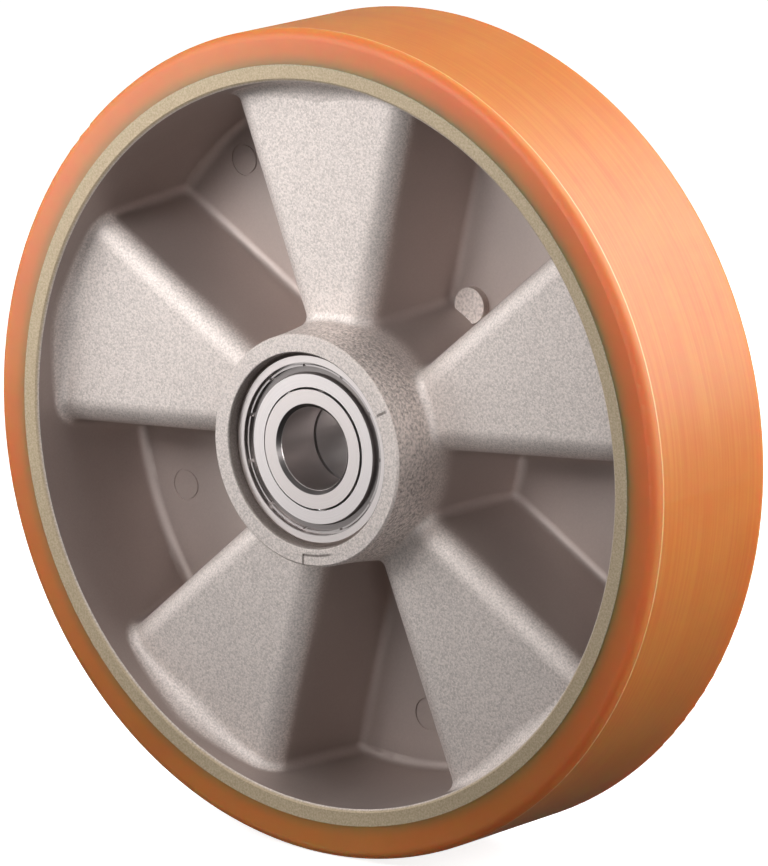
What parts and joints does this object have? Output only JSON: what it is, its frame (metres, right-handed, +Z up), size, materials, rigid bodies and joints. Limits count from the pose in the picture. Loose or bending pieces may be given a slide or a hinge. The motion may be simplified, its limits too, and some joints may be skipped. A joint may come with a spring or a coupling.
{
  "type": "polyurethane wheel",
  "caption": "Castor wheel with a polyurethane tread bonded to a cast aluminium centre with a corrugated spoke web, turning on shielded ball bearings in its hub.",
  "frame": {"origin": "centre of the wheel, on the axle line midway between the two sides", "axes": "+Y along the axle from the front face to the back, +Z up, X across"},
  "size_m": [0.2, 0.053, 0.2],
  "materials": {
    "cast_aluminium": "as-cast aluminium, blasted",
    "polyurethane": "satin cast polyurethane, orange-brown",
    "turned_steel": "turned tube",
    "ground_steel": "ground bearing steel",
    "shield_steel": "stamped sheet steel",
    "cage_steel": "pressed sheet steel",
    "polished_steel": "lapped"
  },
  "bodies": {
    "axle_core": {"front_inner_ring": "ground_steel", "distance_tube": "turned_steel", "rear_inner_ring": "ground_steel"},
    "wheel": {"wheel_centre": "cast_aluminium", "tread": "polyurethane", "front_outer_ring": "ground_steel", "front_outer_shield": "shield_steel", "front_inner_shield": "shield_steel", "rear_outer_ring": "ground_steel", "rear_outer_shield": "shield_steel", "rear_inner_shield": "shield_steel"},
    "front_cage": {"front_outer_cage_half": "cage_steel", "front_inner_cage_half": "cage_steel", "front_cage_rivets": "cage_steel"},
    "rear_cage": {"rear_outer_cage_half": "cage_steel", "rear_inner_cage_half": "cage_steel", "rear_cage_rivets": "cage_steel"},
    "front_ball_1": {"front_ball_1": "polished_steel"},
    "front_ball_2": {"front_ball_2": "polished_steel"},
    "front_ball_3": {"front_ball_3": "polished_steel"},
    "front_ball_4": {"front_ball_4": "polished_steel"},
    "front_ball_5": {"front_ball_5": "polished_steel"},
    "front_ball_6": {"front_ball_6": "polished_steel"},
    "front_ball_7": {"front_ball_7": "polished_steel"},
    "front_ball_8": {"front_ball_8": "polished_steel"},
    "rear_ball_1": {"rear_ball_1": "polished_steel"},
    "rear_ball_2": {"rear_ball_2": "polished_steel"},
    "rear_ball_3": {"rear_ball_3": "polished_steel"},
    "rear_ball_4": {"rear_ball_4": "polished_steel"},
    "rear_ball_5": {"rear_ball_5": "polished_steel"},
    "rear_ball_6": {"rear_ball_6": "polished_steel"},
    "rear_ball_7": {"rear_ball_7": "polished_steel"},
    "rear_ball_8": {"rear_ball_8": "polished_steel"}
  },
  "joints": [
    {"name": "wheel_spin", "type": "hinge", "parent": "axle_core", "child": "wheel", "pos_m": [0, 0, 0], "axis": [0, 1, 0], "continuous": true},
    {"name": "front_cage_orbit", "type": "hinge", "parent": "axle_core", "child": "front_cage", "pos_m": [0, -0.017, 0], "axis": [0, 1, 0], "continuous": true},
    {"name": "rear_cage_orbit", "type": "hinge", "parent": "axle_core", "child": "rear_cage", "pos_m": [0, 0.017, 0], "axis": [0, 1, 0], "continuous": true},
    {"name": "front_ball_1_roll", "type": "hinge", "parent": "front_cage", "child": "front_ball_1", "pos_m": [0.01675, -0.017, 0], "axis": [0, 1, 0], "continuous": true},
    {"name": "front_ball_2_roll", "type": "hinge", "parent": "front_cage", "child": "front_ball_2", "pos_m": [0.01184, -0.017, 0.01184], "axis": [0, 1, 0], "continuous": true},
    {"name": "front_ball_3_roll", "type": "hinge", "parent": "front_cage", "child": "front_ball_3", "pos_m": [0, -0.017, 0.01675], "axis": [0, 1, 0], "continuous": true},
    {"name": "front_ball_4_roll", "type": "hinge", "parent": "front_cage", "child": "front_ball_4", "pos_m": [-0.01184, -0.017, 0.01184], "axis": [0, 1, 0], "continuous": true},
    {"name": "front_ball_5_roll", "type": "hinge", "parent": "front_cage", "child": "front_ball_5", "pos_m": [-0.01675, -0.017, 0], "axis": [0, 1, 0], "continuous": true},
    {"name": "front_ball_6_roll", "type": "hinge", "parent": "front_cage", "child": "front_ball_6", "pos_m": [-0.01184, -0.017, -0.01184], "axis": [0, 1, 0], "continuous": true},
    {"name": "front_ball_7_roll", "type": "hinge", "parent": "front_cage", "child": "front_ball_7", "pos_m": [0, -0.017, -0.01675], "axis": [0, 1, 0], "continuous": true},
    {"name": "front_ball_8_roll", "type": "hinge", "parent": "front_cage", "child": "front_ball_8", "pos_m": [0.01184, -0.017, -0.01184], "axis": [0, 1, 0], "continuous": true},
    {"name": "rear_ball_1_roll", "type": "hinge", "parent": "rear_cage", "child": "rear_ball_1", "pos_m": [0.01675, 0.017, 0], "axis": [0, 1, 0], "continuous": true},
    {"name": "rear_ball_2_roll", "type": "hinge", "parent": "rear_cage", "child": "rear_ball_2", "pos_m": [0.01184, 0.017, 0.01184], "axis": [0, 1, 0], "continuous": true},
    {"name": "rear_ball_3_roll", "type": "hinge", "parent": "rear_cage", "child": "rear_ball_3", "pos_m": [0, 0.017, 0.01675], "axis": [0, 1, 0], "continuous": true},
    {"name": "rear_ball_4_roll", "type": "hinge", "parent": "rear_cage", "child": "rear_ball_4", "pos_m": [-0.01184, 0.017, 0.01184], "axis": [0, 1, 0], "continuous": true},
    {"name": "rear_ball_5_roll", "type": "hinge", "parent": "rear_cage", "child": "rear_ball_5", "pos_m": [-0.01675, 0.017, 0], "axis": [0, 1, 0], "continuous": true},
    {"name": "rear_ball_6_roll", "type": "hinge", "parent": "rear_cage", "child": "rear_ball_6", "pos_m": [-0.01184, 0.017, -0.01184], "axis": [0, 1, 0], "continuous": true},
    {"name": "rear_ball_7_roll", "type": "hinge", "parent": "rear_cage", "child": "rear_ball_7", "pos_m": [0, 0.017, -0.01675], "axis": [0, 1, 0], "continuous": true},
    {"name": "rear_ball_8_roll", "type": "hinge", "parent": "rear_cage", "child": "rear_ball_8", "pos_m": [0.01184, 0.017, -0.01184], "axis": [0, 1, 0], "continuous": true}
  ],
  "couplings": [
    {"joint": "front_cage_orbit", "follows": "wheel_spin", "ratio": 0.61848},
    {"joint": "rear_cage_orbit", "follows": "wheel_spin", "ratio": 0.61848},
    {"joint": "front_ball_1_roll", "follows": "wheel_spin", "ratio": 1.9916},
    {"joint": "front_ball_2_roll", "follows": "wheel_spin", "ratio": 1.9916},
    {"joint": "front_ball_3_roll", "follows": "wheel_spin", "ratio": 1.9916},
    {"joint": "front_ball_4_roll", "follows": "wheel_spin", "ratio": 1.9916},
    {"joint": "front_ball_5_roll", "follows": "wheel_spin", "ratio": 1.9916},
    {"joint": "front_ball_6_roll", "follows": "wheel_spin", "ratio": 1.9916},
    {"joint": "front_ball_7_roll", "follows": "wheel_spin", "ratio": 1.9916},
    {"joint": "front_ball_8_roll", "follows": "wheel_spin", "ratio": 1.9916},
    {"joint": "rear_ball_1_roll", "follows": "wheel_spin", "ratio": 1.9916},
    {"joint": "rear_ball_2_roll", "follows": "wheel_spin", "ratio": 1.9916},
    {"joint": "rear_ball_3_roll", "follows": "wheel_spin", "ratio": 1.9916},
    {"joint": "rear_ball_4_roll", "follows": "wheel_spin", "ratio": 1.9916},
    {"joint": "rear_ball_5_roll", "follows": "wheel_spin", "ratio": 1.9916},
    {"joint": "rear_ball_6_roll", "follows": "wheel_spin", "ratio": 1.9916},
    {"joint": "rear_ball_7_roll", "follows": "wheel_spin", "ratio": 1.9916},
    {"joint": "rear_ball_8_roll", "follows": "wheel_spin", "ratio": 1.9916}
  ]
}
